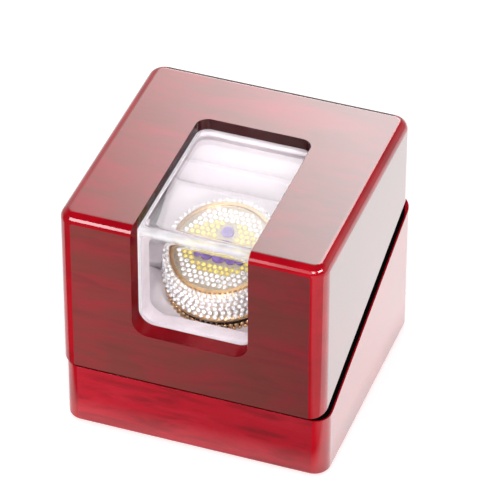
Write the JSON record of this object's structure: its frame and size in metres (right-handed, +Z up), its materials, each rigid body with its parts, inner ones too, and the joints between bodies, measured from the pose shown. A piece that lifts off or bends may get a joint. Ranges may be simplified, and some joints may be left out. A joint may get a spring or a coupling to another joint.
{
  "type": "ring display box",
  "caption": "Square lacquered wooden ring box with a slanted hinged lid, a clear window over its top and front, a padded slit holding a large round-headed ring.",
  "frame": {"origin": "centre of the closed box's footprint, at the felt underside that stands on the table", "axes": "+X to the right as seen from the front, +Y from the window's front to the hinges at the back, +Z up"},
  "size_m": [0.0654, 0.066, 0.0633],
  "materials": {
    "lacquer": "clear high-gloss lacquer over red-brown stained wood",
    "clear_cover": "clear polished moulding",
    "pale_lining": "smooth matt leather-like cloth",
    "cushion_cloth": "soft padded leather-like cloth",
    "collar_black": "black flocked",
    "felt": "felt",
    "board_wood": "plain sanded",
    "board_card": "plain",
    "hinge_brass": "polished",
    "pin_steel": "bright",
    "ring_gold": "polished gold colour",
    "ring_plate": "pale satin",
    "purple_enamel": "glossy enamel",
    "yellow_stone": "faceted stone",
    "white_stone": "faceted stone"
  },
  "bodies": {
    "base": {"base_shell": "lacquer", "base_floor": "board_wood", "base_felt": "felt", "rim_collar": "collar_black", "base_lining_front": "pale_lining", "base_lining_back": "pale_lining", "base_lining_left": "pale_lining", "base_lining_right": "pale_lining", "bearer_left": "board_wood", "bearer_right": "board_wood", "cushion_board": "board_card", "cushion_front": "cushion_cloth", "cushion_rear": "cushion_cloth", "base_hinge_leaf_left": "hinge_brass", "base_hinge_leaf_right": "hinge_brass", "base_hinge_screws": "hinge_brass", "hinge_pins": "pin_steel", "ring_band": "ring_gold", "ring_head": "ring_gold", "ring_bezel": "ring_gold", "ring_face": "ring_plate", "ring_rosette": "purple_enamel", "ring_yellow_stones": "yellow_stone", "ring_white_stones": "white_stone", "ring_beads": "ring_gold"},
    "lid": {"lid_shell": "lacquer", "window_cover": "clear_cover", "lid_lining_top": "pale_lining", "lid_lining_front": "pale_lining", "lid_lining_left": "pale_lining", "lid_lining_right": "pale_lining", "lid_lining_back": "pale_lining", "lid_hinge_leaf_left": "hinge_brass", "lid_hinge_leaf_right": "hinge_brass", "lid_hinge_screws": "hinge_brass"}
  },
  "joints": [
    {"name": "lid_hinge", "type": "hinge", "parent": "base", "child": "lid", "pos_m": [0, 0.03079, 0.03882], "axis": [-1, 0, 0], "range_deg": [0, 100]}
  ]
}
